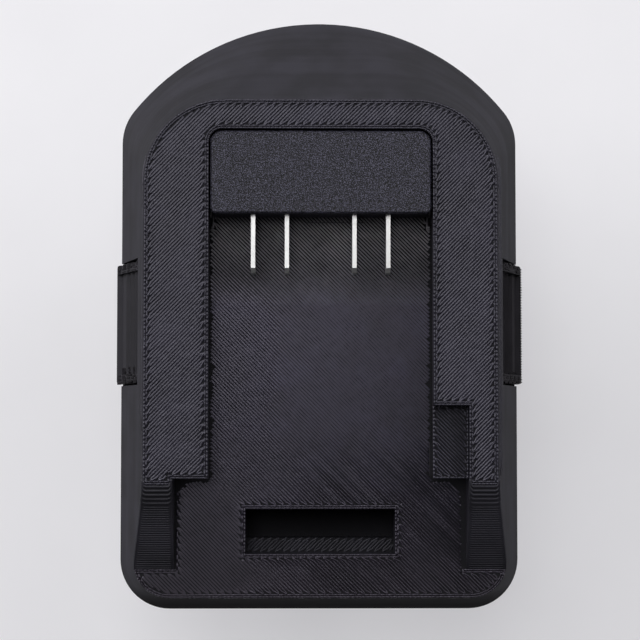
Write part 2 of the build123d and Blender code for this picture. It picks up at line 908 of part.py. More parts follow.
def spring_path():
    """The spring's centreline: two arcs for each half turn, tangent to the helix at both ends."""
    start = post_half_width + spring_end_gap + spring_wire_radius
    end = spring_far_end() - spring_end_gap - spring_wire_radius
    climb = (end - start) / (2 * spring_turns)
    slope = climb / (spring_radius * radians(180))

    def place(half_turns):
        angle = radians(180) * half_turns
        return Vector(
            start + climb * half_turns,
            latch_centre + spring_radius * cos(angle),
            arm_middle + spring_radius * sin(angle),
        )

    def heading(half_turns):
        angle = radians(180) * half_turns
        return Vector(slope, -sin(angle), cos(angle)).normalized()

    edges = []
    for number in range(2 * spring_turns):
        a, b = place(number), place(number + 1)
        ta, tb = heading(number), heading(number + 1)
        gap = b - a
        both = ta + tb
        spread = 2 * (1 - ta.dot(tb))
        reach = (-gap.dot(both) + sqrt(gap.dot(both) ** 2 + spread * gap.dot(gap))) / spread
        middle = (a + ta * reach + b - tb * reach) / 2
        edges.append(TangentArc(a, middle, tangent=ta))
        edges.append(TangentArc(middle, b, tangent=edges[-1] % 1))
    return edges


def least_gap(edges, radius, samples=12):
    """The least gap of a wound wire to itself, between points half a turn or more apart."""
    points = [edge @ (number / samples) for edge in edges for number in range(samples)]
    apart = 2 * samples
    pairs = ((a, b) for place, a in enumerate(points) for b in points[place + apart:])
    return min((a - b).length for a, b in pairs) - 2 * radius


def latch_spring():
    """The coil spring between the post and the +X latch."""
    edges = spring_path()
    print("latch spring gap", round(least_gap(edges, spring_wire_radius), 2))
    section = Plane(origin=edges[0] @ 0, z_dir=edges[0] % 0) * Circle(spring_wire_radius)
    return sweep(section, Wire([edge.edge() for edge in edges]))


def mirrored(shape):
    """The same piece on the other side."""
    return mirror(shape, about=Plane.YZ)


def write(name, shape):
    """Writes one piece, or a group of equal pieces, as a named file."""
    shape = Compound(children=list(shape)) if isinstance(shape, list) else shape
    export_step(shape, "parts/" + name + ".step")


def main():
    os.makedirs("parts", exist_ok=True)
    write("battery_shell", battery_shell())
    write("base_cover", base_cover())
    write("post_tube", post_tube())
    write("post_cap", post_cap())
    write("terminal_block", terminal_block())
    write("blade_retainer", blade_retainer())
    names = ("blade_negative", "blade_sense_a", "blade_sense_b", "blade_positive")
    for name, x in zip(names, blade_places):
        write(name, blade(x))
    right_latch = latch()
    write("latch_right", right_latch)
    write("latch_left", mirrored(right_latch))
    right_spring = latch_spring()
    write("latch_spring_right", right_spring)
    write("latch_spring_left", mirrored(right_spring))
    write("power_contact_positive", power_contact(1))
    write("power_contact_negative", power_contact(-1))
    write("sense_contact_b", sense_contact(1))
    write("sense_contact_a", sense_contact(-1))
    write("power_wire_positive", wire(power_wire_route(1), power_wire_radius))
    write("power_wire_negative", wire(power_wire_route(-1), power_wire_radius))
    write("sense_wire_b", wire(sense_wire_route(1), sense_wire_radius))
    write("sense_wire_a", wire(sense_wire_route(-1), sense_wire_radius))
    write("wire_sleeves", wire_sleeves())
    write("shell_screws", screws(shell_screw_places(), shell_screw_bearing(), shell_screw_length))
    write("post_screws", [
        Pos(x, y, cover_top + post_ear_thickness) * Rot(180, 0, 0) * screw(post_screw_length)
        for x, y in post_screw_places()
    ])
    write("block_screws", screws(block_screw_places(), ceiling_level, block_screw_length))
    write("cap_screws", screws(cap_screw_places(), cap_screw_bearing(), cap_screw_length))


main()
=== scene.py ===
import math

import bpy
from mathutils import Matrix, Vector, noise


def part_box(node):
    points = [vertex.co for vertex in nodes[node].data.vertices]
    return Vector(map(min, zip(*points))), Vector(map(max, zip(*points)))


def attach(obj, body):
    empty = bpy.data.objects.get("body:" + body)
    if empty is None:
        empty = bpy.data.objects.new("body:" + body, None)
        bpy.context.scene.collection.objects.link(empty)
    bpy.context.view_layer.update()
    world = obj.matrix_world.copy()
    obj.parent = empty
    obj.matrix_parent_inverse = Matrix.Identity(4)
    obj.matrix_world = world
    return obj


# A printed battery adapter seen from its battery side. Lengths are millimetres until a mesh is made, but metres
# where a material measures its own coordinates.

MM = 0.001
# How far apart two heights or reaches may lie and still count as one, and the decimals that points are joined by
TINY, PLACES = 0.01, 3

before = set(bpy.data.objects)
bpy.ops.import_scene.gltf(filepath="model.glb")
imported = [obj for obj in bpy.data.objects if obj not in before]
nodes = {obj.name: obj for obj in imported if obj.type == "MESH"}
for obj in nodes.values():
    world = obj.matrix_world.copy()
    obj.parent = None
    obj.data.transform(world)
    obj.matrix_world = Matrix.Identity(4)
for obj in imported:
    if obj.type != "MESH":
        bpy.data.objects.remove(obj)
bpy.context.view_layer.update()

# Levels of the CAD frame and the block's front face, from its boxes
RECESS_DROP, LEDGE_DROP = 2.0, 6.0
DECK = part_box("battery_shell")[1].z / MM
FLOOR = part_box("terminal_block")[0].z / MM
BLOCK_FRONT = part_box("terminal_block")[0].y / MM
RECESS = DECK - RECESS_DROP
LEDGE = FLOOR - LEDGE_DROP

# The arms' lips and the ramps that they end in
ARM_END = -29.2
LIP_REACH = 20.8
RAMP_INNER = 27.4
RAMP_START, RAMP_CREST, RAMP_FOOT = -30.3, -34.0, -46.3
CREST_RADIUS = 7.68

# The thin string of plastic across the floor, just below the block
SEAM, SEAM_LEFT, SEAM_RIGHT = 18.9, -2.5, 8.5

# The release buttons, and how far from the middle their outer faces begin at least
BUTTON_CENTRE, BUTTON_HALF, BUTTON_RIM, SCOOP_DEPTH = 0.1, 11.5, 1.7, 1.1
BUTTON_REACH = 30

# Printed lines: their pitch, and in pitches how late runs start, which runs are left out, how far a run looks for
# the one that it turns into, and the turn's pinch and bulge
PITCH = 0.515
LATENESS, SHORTEST_RUN, TURN_SEARCH = 0.5, 0.5, 2.2
PINCH, BULGE = 0.26, 0.45

# A run's straight part begins this far from its end, or at this share of a short run
LEAN, LEAN_SHARE = 0.4, 0.2
# How much higher than the line the turn stands, at its ends and at its middle
TURN_RISE, BLOB_RISE = 1.1, 1.4
# Seeds and scale of the noise that shortens runs
START_SEED, END_SEED, LATENESS_NOISE = 3, 8, 2

# A bead's section: how deep its base lies, and its shoulders as shares of its half width and height
BEAD_SINK, SHOULDER_REACH, SHOULDER_RISE = 0.012, 0.62, 0.86
# How a bead swells along its path, how much a flattened one spreads, and the least share of its depth that it
# keeps
BROAD_SWELL, FINE_SWELL = 0.7, 3.1
FLAT_SPREAD, LEAST_SINK = 0.6, 0.3
# The longest straight run of a printed line's bead
LINE_STEP = 0.45

# Outlines: the least bend that counts as a corner, the limit on how far a sharp corner moves, the least area of a
# recess, and a distance beyond all others
STRAIGHT, SHARPEST = 1e-4, 0.3
SMALLEST_RECESS, FAR = 30, 1e9

# The beads along a face's edges: their gaps from it, section, and how their height beats from point to point
ONE_RIM, TWO_RIMS = (0.18,), (0.18, 0.58)
RIM_WIDTH, RIM_STEP, RIM_WOBBLE = 0.36, 0.35, 0.7
OUTER_BEAT, INNER_BEAT = (1.5, 0.4), (1.3, 1.0, 0.2, 0.8)
RIM_MARGIN, PLAIN_MARGIN = 0.40, 0.3


# Mesh helpers

def clamp(value):
    """The value kept between 0 and 1."""
    return min(1, max(0, value))


def sides(loop):
    """The sides of a closed outline, as pairs of points."""
    return zip(loop, loop[1:] + loop[:1])


def read_loops(node, level):
    """Outlines of a node's upward faces at a level, with the material on their left."""
    mesh = nodes[node].data
    mesh.calc_loop_triangles()
    spots = [tuple(round(c / MM, PLACES) for c in v.co) for v in mesh.vertices]
    edges = set()
    for tri in mesh.loop_triangles:
        corners = [spots[i] for i in tri.vertices]
        if max(abs(c[2] - level) for c in corners) > TINY:
            continue
        (ax, ay, _), (bx, by, _), (cx, cy, _) = corners
        if (bx - ax) * (cy - ay) - (by - ay) * (cx - ax) <= 0:
            continue
        for a, b in sides(corners):
            edges.add((a[:2], b[:2]))
    rim = {}
    for a, b in edges:
        if (b, a) not in edges:
            rim.setdefault(a, []).append(b)
    loops = []
    while rim:
        start = min(rim)
        loop, here = [start], start
        while True:
            after = rim[here].pop()
            if not rim[here]:
                del rim[here]
            if after == start:
                break
            loop.append(after)
            here = after
        loops.append(clean(loop))
    return [loop for loop in loops if len(loop) > 2]


def clean(loop):
    """The same outline without doubled or collinear points."""
    kept = []
    count = len(loop)
    for i in range(count):
        a, b, c = loop[i - 1], loop[i], loop[(i + 1) % count]
        ux, uy, vx, vy = b[0] - a[0], b[1] - a[1], c[0] - b[0], c[1] - b[1]
        if abs(ux * vy - uy * vx) > STRAIGHT * (math.hypot(ux, uy) + math.hypot(vx, vy)):
            kept.append(b)
    return kept


def area(loop):
    """An outline's area, negative where it runs clockwise."""
    return sum(a[0] * b[1] - b[0] * a[1] for a, b in sides(loop)) / 2


def inset(loop, gap):
    """The outline moved to its left by a gap."""
    moved = []
    count = len(loop)
    for i in range(count):
        a, b, c = loop[i - 1], loop[i], loop[(i + 1) % count]
        u, v = math.hypot(b[0] - a[0], b[1] - a[1]), math.hypot(c[0] - b[0], c[1] - b[1])
        nx, ny = -(b[1] - a[1]) / u, (b[0] - a[0]) / u
        mx, my = -(c[1] - b[1]) / v, (c[0] - b[0]) / v
        grow = gap / max(1 + nx * mx + ny * my, SHARPEST)
        moved.append((b[0] + (nx + mx) * grow, b[1] + (ny + my) * grow))
    return moved


def edge_distance(loops, p):
    """How far a point is from the nearest edge of some outlines."""
    least = FAR
    for loop in loops:
        for a, b in sides(loop):
            ux, uy = b[0] - a[0], b[1] - a[1]
            share = clamp(((p.x - a[0]) * ux + (p.y - a[1]) * uy) / (ux * ux + uy * uy))
            least = min(least, math.hypot(a[0] + share * ux - p.x, a[1] + share * uy - p.y))
    return least


def hatch_rows(rims, dx, dy):
    """Parallel rows across outlines, each as its level and the runs that lie inside."""
    levels = [-x * dy + y * dx for rim in rims for x, y in rim]
    low, high = min(levels), max(levels)
    rows = []
    for number in range(int((high - low) / PITCH)):
        level = low + (number + 0.5) * PITCH
        cuts = []
        for rim in rims:
            for a, b in sides(rim):
                va, vb = -a[0] * dy + a[1] * dx, -b[0] * dy + b[1] * dx
                if (va > level) != (vb > level):
                    share = (level - va) / (vb - va)
                    x, y = a[0] + share * (b[0] - a[0]), a[1] + share * (b[1] - a[1])
                    cuts.append(x * dx + y * dy)
        cuts.sort()
        runs = []
        for start, end in zip(cuts[::2], cuts[1::2]):
            start += LATENESS * PITCH * abs(noise.noise(Vector((start, level, START_SEED)) * LATENESS_NOISE))
            end -= LATENESS * PITCH * abs(noise.noise(Vector((end, level, END_SEED)) * LATENESS_NOISE))
            if end - start > SHORTEST_RUN * PITCH:
                runs.append((start, end))
        rows.append((level, runs))
    return rows


def hatch(loops, angle, margin):
    """Zigzag printed lines inside outlines: parallel runs joined in pairs by round turns at their ends."""
    dx, dy = math.cos(math.radians(angle)), math.sin(math.radians(angle))
    rows = hatch_rows([inset(loop, margin) for loop in loops], dx, dy)
    chains, waiting = [], []
    for number, (level, runs) in enumerate(rows):
        back = number % 2
        joined = []
        for start, end in runs:
            first, last = (end, start) if back else (start, end)
            match = next((c for c in waiting if abs(c[-1][0] - first) < TURN_SEARCH * PITCH), None)
            lean = min(LEAN, LEAN_SHARE * (end - start)) * (-1 if back else 1)
            if match is None:
                match = [(first, level, 1)]
                chains.append(match)
            else:
                waiting = [c for c in waiting if c is not match]
                before = match[-1]
                out = (BULGE if back else -BULGE) * PITCH
                joint = level - PINCH * PITCH
                match.append((before[0] + out, (3 * before[1] + joint) / 4, BLOB_RISE))
                match.append((first + out, (before[1] + 3 * joint) / 4, BLOB_RISE))
                match.append((first, joint, TURN_RISE))
            match.append((first + lean, level, 1))
            match.append((last - lean, level, 1))
            match.append((last, level + PINCH * PITCH, TURN_RISE))
            joined.append(match)
        waiting = joined
    return [[(u * dx - v * dy, u * dy + v * dx, k) for u, v, k in chain] for chain in chains]


def resample(path, closed, step):
    """The same path with no run longer than a step; a point's fourth value scales the bead's height."""
    points = [Vector(p) if len(p) == 4 else Vector((*p, 1)) for p in path]
    if closed:
        points.append(points[0])
    made = []
    for a, b in zip(points, points[1:]):
        count = max(1, math.ceil((b - a).length / step))
        made.extend(a.lerp(b, i / count) for i in range(count))
    return made if closed else made + [points[-1]]


def half_round(width, height):
    """A bead's section: flat below, arched above, from right to left."""
    half, shoulder = width / 2, SHOULDER_RISE * height
    return [(half, -BEAD_SINK), (SHOULDER_REACH * half, shoulder), (0, height),
            (-SHOULDER_REACH * half, shoulder), (-half, -BEAD_SINK)]


def oval(width, height, count=8, sunk=0):
    """A whole round bead's section, its middle sunk below the path."""
    turns = [2 * math.pi * i / count for i in range(count)]
    return [(width / 2 * math.cos(t), height / 2 * math.sin(t) - sunk) for t in turns]


def bead_spots(points, ring, closed, wobble, relief):
    """The bead's section at each point of its path, in metres."""
    spots = []
    count = len(points)
    for i, spot in enumerate(points):
        before = points[i - 1] if closed or i else spot
        after = points[(i + 1) % count] if closed or i < count - 1 else spot
        p = spot.xyz
        run = (after - before).xyz
        run.z = 0
        run.normalize()
        side = Vector((run.y, -run.x, 0))
        swell = 1 + wobble * noise.noise(p * BROAD_SWELL) + wobble * noise.noise(p * FINE_SWELL)
        fullness = relief(p) if relief else 1
        rise = swell * spot.w * fullness
        across = (0.5 + 0.5 * swell) * (1 + FLAT_SPREAD - FLAT_SPREAD * clamp(fullness))
        for s, u in ring:
            lift = u * (rise if u > 0 else max(LEAST_SINK, min(1, fullness)))
            spots.append((p + side * (s * across) + Vector((0, 0, lift))) * MM)
    return spots


def strands(name, paths, ring, material, step, wobble, closed=False, body="housing", relief=None,
            flat_base=False):
    """One piece of printed beads that follow paths, their size varying a little along them."""
    spots, faces, smooth = [], [], []
    size = len(ring)
    shading = [True] * (size - 1) + [not flat_base]
    for path in paths:
        points = resample(path, closed, step)
        count = len(points)
        if count < 2:
            continue
        first = len(spots)
        spots.extend(bead_spots(points, ring, closed, wobble, relief))
        for i in range(count if closed else count - 1):
            near, far = first + i * size, first + ((i + 1) % count) * size
            for j in range(size):
                k = (j + 1) % size
                faces.append((near + j, far + j, far + k, near + k))
            smooth.extend(shading)
        if not closed:
            tail = first + (count - 1) * size
            faces.append(tuple(first + j for j in range(size)))
            faces.append(tuple(tail + size - 1 - j for j in range(size)))
            smooth.extend([False, False])
    mesh = bpy.data.meshes.new(name)
    mesh.from_pydata([tuple(s) for s in spots], [], faces)
    mesh.polygons.foreach_set("use_smooth", smooth)
    mesh.update()
    piece = bpy.data.objects.new(name, mesh)
    bpy.context.scene.collection.objects.link(piece)
    mesh.materials.append(material)
    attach(piece, body)


# Node helpers

# Places of the two colours, their mix and the two values among a mix node's sockets
COLOUR_A, COLOUR_B, COLOUR_MIXED, VALUE_A, VALUE_B = 6, 7, 2, 2, 3


def add(tree, kind, inputs=None, **facts):
    """A node with its settings, its inputs either values or linked sockets."""
    made = tree.nodes.new(kind)
    for key, value in facts.items():
        setattr(made, key, value)
    for key, value in (inputs or {}).items():
        if isinstance(value, bpy.types.NodeSocket):
            tree.links.new(value, made.inputs[key])
        else:
            made.inputs[key].default_value = value
    return made


def start_material(name):
    """An empty material and its tree, with object coordinates."""
    material = bpy.data.materials.new(name)
    material.use_nodes = True
    tree = material.node_tree
    tree.nodes.clear()
    return material, tree, add(tree, "ShaderNodeTexCoord").outputs["Object"]


def close_material(tree, shader):
    """The tree's output, with a shader on its surface."""
    add(tree, "ShaderNodeOutputMaterial", {"Surface": shader.outputs[0]})


def noise_at(tree, where, stretch, detail=2.0, rough=0.5, turned=0):
    """Noise whose grains follow the three stretches, in grains per metre, turned about Z."""
    mapped = add(tree, "ShaderNodeMapping", {"Vector": where, "Rotation": (0, 0, math.radians(turned))})
    mapped = add(tree, "ShaderNodeMapping", {"Vector": mapped.outputs[0], "Scale": stretch})
    made = add(tree, "ShaderNodeTexNoise", {
        "Vector": mapped.outputs[0], "Scale": 1.0, "Detail": detail, "Roughness": rough})
    return made.outputs["Fac"]


def ramp(tree, fac, stops):
    """A colour ramp from (place, colour) stops."""
    made = add(tree, "ShaderNodeValToRGB", {"Fac": fac})
    line = made.color_ramp
    while len(line.elements) < len(stops):
        line.elements.new(0.5)
    for element, (place, colour) in zip(line.elements, stops):
        element.position = place
        element.color = (*colour, 1)
    return made.outputs["Color"]


def shades(tint, stops):
    """Stops of a colour ramp from (place, share) stops of one tint."""
    return [(place, tuple(c * share for c in tint)) for place, share in stops]


def spread(tree, value, low=0.0, high=1.0, span=(0.0, 1.0)):
    """A value's share of a span, as a value from low to high."""
    made = add(tree, "ShaderNodeMapRange", {
        "Value": value, "From Min": span[0], "From Max": span[1], "To Min": low, "To Max": high})
    return made.outputs["Result"]


def math_node(tree, operation, a, b=0.0, c=0.0):
    """The result of one sum or comparison."""
    made = add(tree, "ShaderNodeMath", {0: a, 1: b, 2: c}, operation=operation)
    return made.outputs[0]


def blend(tree, share, first, second):
    """A mix of two colours, the second where the share is whole."""
    made = add(tree, "ShaderNodeMix", {0: share, COLOUR_A: first, COLOUR_B: second}, data_type="RGBA")
    return made.outputs[COLOUR_MIXED]


def bump(tree, height, distance, **inputs):
    """A bumped normal, its distance in metres."""
    made = add(tree, "ShaderNodeBump", {"Height": height, "Distance": distance, "Strength": 1.0, **inputs})
    return made.outputs[0]


# Materials

# Printed plastic's noises, in grains per metre
PATCH_GRAIN, FINE_GRAIN = (140, 140, 140), (5200, 5200, 5200)
THIN_LAYERS, WIDE_LAYERS, BANDS = (40, 40, 3600), (25, 25, 900), (9, 9, 260)
# Ramp stops, each a place and a share of the tint
MOTTLED = ((0.40, 0.66), (0.60, 1.40))
PATCHY = ((0.35, 0.8), (0.65, 1.2))
CALM = ((0.35, 0.86), (0.65, 1.16))
WORN = ((0.35, 0.75), (0.6, 1))
# Weights of the thin layers and the bands in the layers' height, and of patches and grain in the roughness
THIN_WEIGHT, BAND_WEIGHT, PATCH_WEIGHT, GRAIN_WEIGHT = 0.6, 5.0, 0.6, 0.4
ROUGHNESS_SWING = 0.08
# The upward share of the normal on faces that count as level beds, which take the painted gap shade, as steep
# walls and as sloped at all
BED_SLOPE, STEEP_SLOPE, ANY_SLOPE = (0.93, 0.99), (0.45, 0.95), (0.05, 0.15)
STEEP_ROUGHNESS, WALL_LEAN = 0.5, 0.8
# Where the painted light on the floor's lines takes over, along Y
PAINTED_LIGHT_SPAN = (0.003, 0.018)
SHEEN = (0.94, 0.93, 1.0)


def printed(name, tint, roughness, layer_depth, grain_depth, specular, sheen_tint=SHEEN, painted_shade_tint=None,
            low_span=None, low_roughness=None, low_lean=None, painted_light_tint=None, gap_shade_share=1.0):
    """Printed plastic: near-black, with layer streaks along Z, a fine grain and patches of sheen.

    A sloped wall's shading leans upwards, as the round tops of its stacked beads do. The painted shade tint, the
    low roughness and the lean, where there are any, take over towards the latch end of the low span, so that end
    is darkened with painted shade. The painted light tint takes over towards the block and lightens the lines
    there with painted light. A gap shade share below 1 darkens the level beds that show between the beads with
    painted shade."""
    material, tree, where = start_material(name)
    along = add(tree, "ShaderNodeSeparateXYZ", {"Vector": where}).outputs["Y"]
    facing = add(tree, "ShaderNodeNewGeometry").outputs["Normal"]
    rise = add(tree, "ShaderNodeSeparateXYZ", {"Vector": facing}).outputs["Z"]
    broad = noise_at(tree, where, PATCH_GRAIN)
    thin = noise_at(tree, where, THIN_LAYERS, detail=3.0)
    wide = noise_at(tree, where, WIDE_LAYERS)
    grain = noise_at(tree, where, FINE_GRAIN)
    bands = noise_at(tree, where, BANDS, detail=3.0, rough=0.6)

    mottle = math_node(tree, "MULTIPLY_ADD", broad, 0.5, math_node(tree, "MULTIPLY", bands, 0.5))
    colour = ramp(tree, mottle, shades(tint, MOTTLED))
    # Painted shade: the level beds that show between the beads take a darker tint
    if gap_shade_share < 1:
        dark = ramp(tree, broad, shades([c * gap_shade_share for c in tint], PATCHY))
        colour = blend(tree, spread(tree, rise, span=BED_SLOPE), colour, dark)
    # Painted shade: a darker tint towards the latch end of the low span
    if painted_shade_tint:
        low = ramp(tree, broad, shades(painted_shade_tint, CALM))
        colour = blend(tree, spread(tree, along, span=low_span), low, colour)
    # Painted light: a much lighter tint towards the block
    if painted_light_tint:
        high = ramp(tree, broad, shades(painted_light_tint, PATCHY))
        colour = blend(tree, spread(tree, along, span=PAINTED_LIGHT_SPAN), colour, high)

    upright = math_node(tree, "ABSOLUTE", rise)
    sloped = spread(tree, rise, span=ANY_SLOPE)
    raised = math_node(tree, "MULTIPLY", sloped, spread(tree, upright, WALL_LEAN, 0.0))
    if low_lean:
        raised = math_node(tree, "MULTIPLY", raised, spread(tree, along, low_lean, 1.0, low_span))
    lift = add(tree, "ShaderNodeCombineXYZ", {"Z": raised})
    leaned = add(tree, "ShaderNodeVectorMath", {0: facing, 1: lift.outputs[0]}, operation="ADD")
    leaned = add(tree, "ShaderNodeVectorMath", {0: leaned.outputs[0]}, operation="NORMALIZE")
    layers = math_node(tree, "ADD", math_node(tree, "MULTIPLY", thin, THIN_WEIGHT), wide)
    layers = math_node(tree, "MULTIPLY_ADD", bands, BAND_WEIGHT, layers)
    layered = bump(tree, layers, layer_depth * MM, Normal=leaned.outputs[0])
    grained = bump(tree, grain, grain_depth * MM, Normal=layered)

    patches = math_node(tree, "MULTIPLY_ADD", broad, PATCH_WEIGHT,
                        math_node(tree, "MULTIPLY", grain, GRAIN_WEIGHT))
    matt = spread(tree, spread(tree, upright, span=STEEP_SLOPE), STEEP_ROUGHNESS - roughness, 0.0)
    shine = spread(tree, patches, roughness - ROUGHNESS_SWING, roughness + ROUGHNESS_SWING)
    polish = math_node(tree, "ADD", matt, shine)
    if low_roughness:
        share = spread(tree, along, span=low_span)
        polish = add(tree, "ShaderNodeMix", {0: share, VALUE_A: low_roughness, VALUE_B: polish}).outputs[0]
    shader = add(tree, "ShaderNodeBsdfPrincipled", {
        "Base Color": colour,
        "Roughness": polish,
        "Specular IOR Level": specular,
        "Specular Tint": (*sheen_tint, 1),
        "Normal": grained,
    })
    close_material(tree, shader)
    return material


# The block's grain, in grains per metre, its tones, and the weight of its specks
BLOCK_GRAIN, BLOCK_PATCHES, SPECK_SCALE = (3700, 8200, 5400), (160, 160, 160), 3400.0
BLOCK_TONES = ((0.42, (0.001, 0.001, 0.002)), (0.51, (0.005, 0.0045, 0.009)), (0.60, (0.098, 0.095, 0.140)))
BLOCK_ROUGHNESS, BLOCK_SPECULAR, BLOCK_DEPTH, SPECK_WEIGHT = (0.42, 0.56), 0.35, 0.00011, 0.8
# The row of fine dimples: pitch, offset, place along Y, radius, middle and half length, the tint of the painted
# shade inside them and weight
DIMPLE_PITCH, DIMPLE_OFFSET, DIMPLE_ROW, DIMPLE_RADIUS = 0.00175, 0.0093, 0.0221, 0.00019
DIMPLES_MIDDLE, DIMPLES_HALF = 0.0022, 0.0121
DIMPLE_SHADE, DIMPLE_WEIGHT = (0.004, 0.004, 0.005, 1), 2.0


def speckled(name):
    """The terminal block's grained face, with a row of fine dimples near its front edge, bumped in and darkened
    with painted shade.
    """
    material, tree, where = start_material(name)
    specks = add(tree, "ShaderNodeTexVoronoi", {
        "Vector": where, "Scale": SPECK_SCALE, "Randomness": 1.0}, feature="F1")
    coarse = noise_at(tree, where, BLOCK_GRAIN, rough=0.6, turned=45)
    broad = noise_at(tree, where, BLOCK_PATCHES)
    parts = add(tree, "ShaderNodeSeparateXYZ", {"Vector": where})
    moved = math_node(tree, "ADD", parts.outputs["X"], DIMPLE_OFFSET)
    wrapped = math_node(tree, "WRAP", moved, DIMPLE_PITCH)
    across = math_node(tree, "ABSOLUTE", math_node(tree, "SUBTRACT", wrapped, DIMPLE_PITCH / 2))
    along = math_node(tree, "ABSOLUTE", math_node(tree, "SUBTRACT", parts.outputs["Y"], DIMPLE_ROW))
    squares = math_node(tree, "ADD", math_node(tree, "POWER", across, 2.0),
                        math_node(tree, "POWER", along, 2.0))
    near = math_node(tree, "LESS_THAN", math_node(tree, "POWER", squares, 0.5), DIMPLE_RADIUS)
    inside = math_node(tree, "COMPARE", parts.outputs["X"], DIMPLES_MIDDLE, DIMPLES_HALF)
    dots = math_node(tree, "MULTIPLY", near, inside)
    tone = ramp(tree, coarse, BLOCK_TONES)
    height = math_node(tree, "MULTIPLY", specks.outputs["Distance"], SPECK_WEIGHT)
    height = math_node(tree, "ADD", coarse, height)
    height = math_node(tree, "SUBTRACT", height, math_node(tree, "MULTIPLY", dots, DIMPLE_WEIGHT))
    # Painted shade: the dimples take a near-black tint
    shader = add(tree, "ShaderNodeBsdfPrincipled", {
        "Base Color": blend(tree, dots, tone, DIMPLE_SHADE),
        "Roughness": spread(tree, broad, *BLOCK_ROUGHNESS),
        "Specular IOR Level": BLOCK_SPECULAR,
        "Normal": bump(tree, height, BLOCK_DEPTH),
    })
    close_material(tree, shader)
    return material


# Metal's patches in grains per metre, how far below the clean tint the dirt lies, the streaks' depth in metres,
# and how much smoother and rougher the streaks are
METAL_PATCHES, DIRT_BELOW, STREAK_DEPTH = (700, 700, 700), 0.35, 0.000012
STREAK_SMOOTHER, STREAK_ROUGHER = 0.06, 0.08
# The same for the wires' skins
SKIN_PATCHES, SKIN_DEPTH = (500, 500, 500), 0.00003
SKIN_SMOOTHER, SKIN_ROUGHER = 0.05, 0.1


def metal(name, tint, roughness, streak, dirt, clean_from):
    """Plated or oxidised metal with fine streaks and darker patches."""
    material, tree, where = start_material(name)
    lines = noise_at(tree, where, streak)
    patches = noise_at(tree, where, METAL_PATCHES, detail=4.0, rough=0.6)
    shader = add(tree, "ShaderNodeBsdfPrincipled", {
        "Base Color": ramp(tree, patches, [(clean_from - DIRT_BELOW, dirt), (clean_from, tint)]),
        "Metallic": 1.0,
        "Roughness": spread(tree, lines, roughness - STREAK_SMOOTHER, roughness + STREAK_ROUGHER),
        "Normal": bump(tree, lines, STREAK_DEPTH),
    })
    close_material(tree, shader)
    return material


def insulation(name, tint, roughness=0.42):
    """A wire's coloured skin, slightly uneven."""
    material, tree, where = start_material(name)
    patches = noise_at(tree, where, SKIN_PATCHES, detail=3.0)
    shader = add(tree, "ShaderNodeBsdfPrincipled", {
        "Base Color": ramp(tree, patches, shades(tint, WORN)),
        "Roughness": spread(tree, patches, roughness - SKIN_SMOOTHER, roughness + SKIN_ROUGHER),
        "Normal": bump(tree, patches, SKIN_DEPTH),
    })
    close_material(tree, shader)
    return material


BLACK = (0.0150, 0.0143, 0.0195)
# shell_skin: its painted shade tint darkens the front end, and its gap shade share paints shade on the level beds
# between the beads
shell_skin = printed("shell_skin", BLACK, roughness=0.78, layer_depth=0.020, grain_depth=0.006, specular=0.28,
                     painted_shade_tint=(0.006, 0.005, 0.006), low_span=(-0.0535, -0.050), low_roughness=0.45,
                     low_lean=1.7, gap_shade_share=0.30)
bead_skin = printed("bead_skin", (0.0160, 0.0148, 0.0225), roughness=0.33, layer_depth=0.004, grain_depth=0.030,
                    specular=0.55, sheen_tint=(0.88, 0.86, 1.0))
# floor_skin: its painted shade tint darkens the lines towards the latch end, and its painted light tint lightens
# the lines below the block
floor_skin = printed("floor_skin", (0.0165, 0.0150, 0.0270), roughness=0.33, layer_depth=0.004,
                     grain_depth=0.018, specular=0.62, sheen_tint=(0.88, 0.83, 1.0),
                     painted_shade_tint=(0.0090, 0.0068, 0.0105), low_span=(-0.048, -0.018),
                     painted_light_tint=(0.200, 0.192, 0.210))
ramp_skin = printed("ramp_skin", BLACK, roughness=0.42, layer_depth=0.004, grain_depth=0.012, specular=0.24)
latch_skin = printed("latch_skin", (0.015, 0.014, 0.018), roughness=0.46, layer_depth=0.024,
                     grain_depth=0.014, specular=0.28)
# The right latch's copy: a little darker, rougher and less shiny than the left's
latch_skin_darker = printed("latch_skin_darker", (0.014, 0.0125, 0.016), roughness=0.50, layer_depth=0.024,
                          grain_depth=0.014, specular=0.16)
end_skin = printed("end_skin", (0.005, 0.004, 0.006), roughness=0.60, layer_depth=0.024, grain_depth=0.030,
                   specular=0.12)
block_skin = speckled("block_skin")
nickel = metal("nickel", (0.64, 0.64, 0.64), roughness=0.42, streak=(900, 60, 5200), dirt=(0.50, 0.50, 0.50),
               clean_from=0.5)
brass = metal("brass", (0.80, 0.66, 0.36), roughness=0.28, streak=(900, 900, 90), dirt=(0.45, 0.33, 0.16),
              clean_from=0.55)
oxide = metal("oxide", (0.16, 0.16, 0.17), roughness=0.38, streak=(1500, 1500, 1500), dirt=(0.07, 0.07, 0.075),
              clean_from=0.55)
bright = metal("bright", (0.62, 0.62, 0.63), roughness=0.26, streak=(1800, 1800, 1800), dirt=(0.4, 0.4, 0.41),
               clean_from=0.5)
